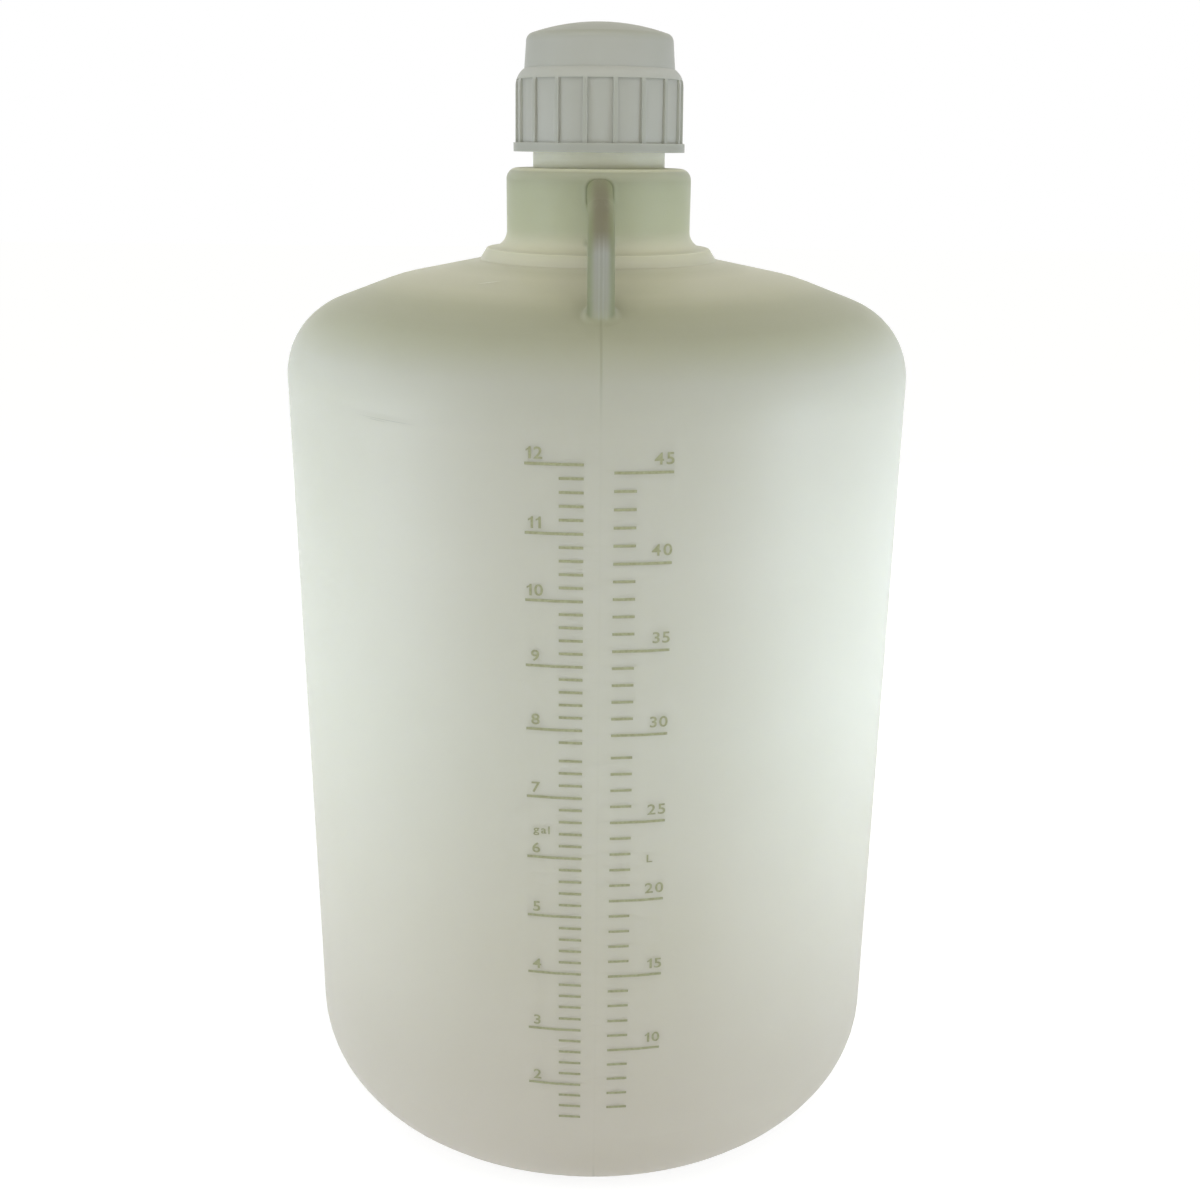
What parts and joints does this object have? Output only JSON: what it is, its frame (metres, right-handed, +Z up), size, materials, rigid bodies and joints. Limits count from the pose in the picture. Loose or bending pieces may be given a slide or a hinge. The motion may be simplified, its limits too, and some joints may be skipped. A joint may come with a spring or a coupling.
{
  "type": "carboy",
  "caption": "Large round translucent plastic carboy with a sloped shoulder, collar, moulded handles and a ribbed screw cap with a low dome.",
  "frame": {"origin": "centre of the base, on the surface that it stands on", "axes": "+Z up along the vessel's axis, -Y towards the printed filling scale and the front handle, +X to the right of that scale"},
  "size_m": [0.3728, 0.3728, 0.6748],
  "materials": {
    "vessel_plastic": "translucent natural polyethylene, softly glossy outside, faint mould grain",
    "cap_plastic": "translucent natural polypropylene, satin",
    "seal_foam": "pale, matt closed-cell foam"
  },
  "bodies": {
    "vessel": {"vessel": "vessel_plastic"},
    "seal_ring": {"seal_ring": "seal_foam"},
    "cap": {"cap": "cap_plastic"}
  },
  "joints": [
    {"name": "cap_lift", "type": "slide", "parent": "vessel", "child": "seal_ring", "axis": [0, 0, 1], "range_m": [0, 0.012]},
    {"name": "cap_turn", "type": "hinge", "parent": "seal_ring", "child": "cap", "pos_m": [0, 0, 0.65879], "axis": [0, 0, 1], "range_deg": [0, 540]}
  ],
  "couplings": [
    {"joint": "cap_lift", "follows": "cap_turn", "m_per_rad": 0.0012732}
  ]
}
